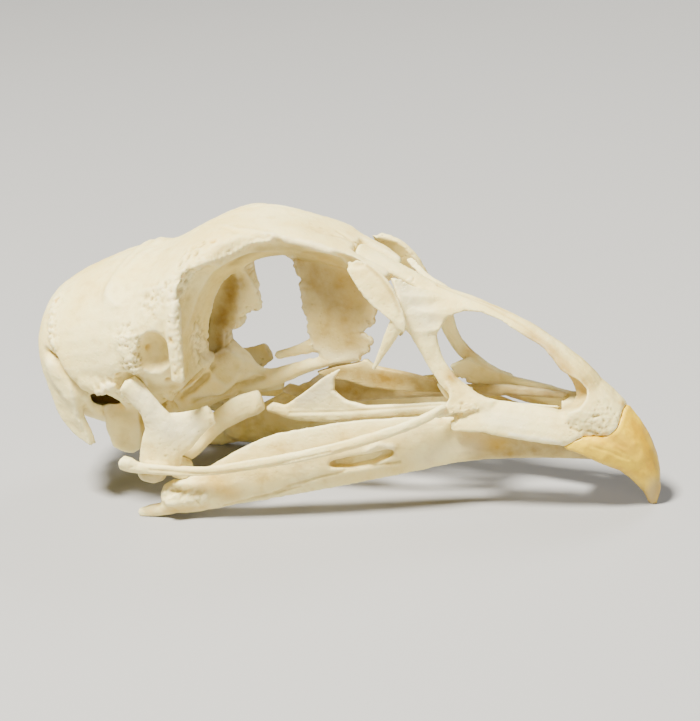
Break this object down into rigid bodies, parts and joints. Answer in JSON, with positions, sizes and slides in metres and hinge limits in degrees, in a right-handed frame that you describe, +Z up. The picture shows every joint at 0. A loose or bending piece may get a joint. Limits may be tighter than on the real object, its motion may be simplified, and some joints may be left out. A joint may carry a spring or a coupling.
{
  "type": "chicken skull",
  "caption": "Bare chicken skull at life size: domed braincase, large open orbits, slender nasal and cheek bars, hooked horn beak tip and closed lower jaw.",
  "frame": {"origin": "on the floor, under the middle of the skull", "axes": "+X towards the tip of the beak, +Y to the skull's own left side, +Z up"},
  "size_m": [0.0762, 0.0286, 0.0346],
  "materials": {
    "bone": "bone",
    "horn": "horn"
  },
  "bodies": {
    "root": {"cranium": "bone", "upper_beak": "bone", "beak_horn": "horn", "lacrimal_right": "bone", "lacrimal_left": "bone", "quadrate_right": "bone", "quadrate_left": "bone", "jugal_bar_right": "bone", "jugal_bar_left": "bone", "pterygoid_right": "bone", "pterygoid_left": "bone", "palatine_right": "bone", "palatine_left": "bone", "vomer": "bone", "mandible": "bone"}
  },
  "joints": []
}
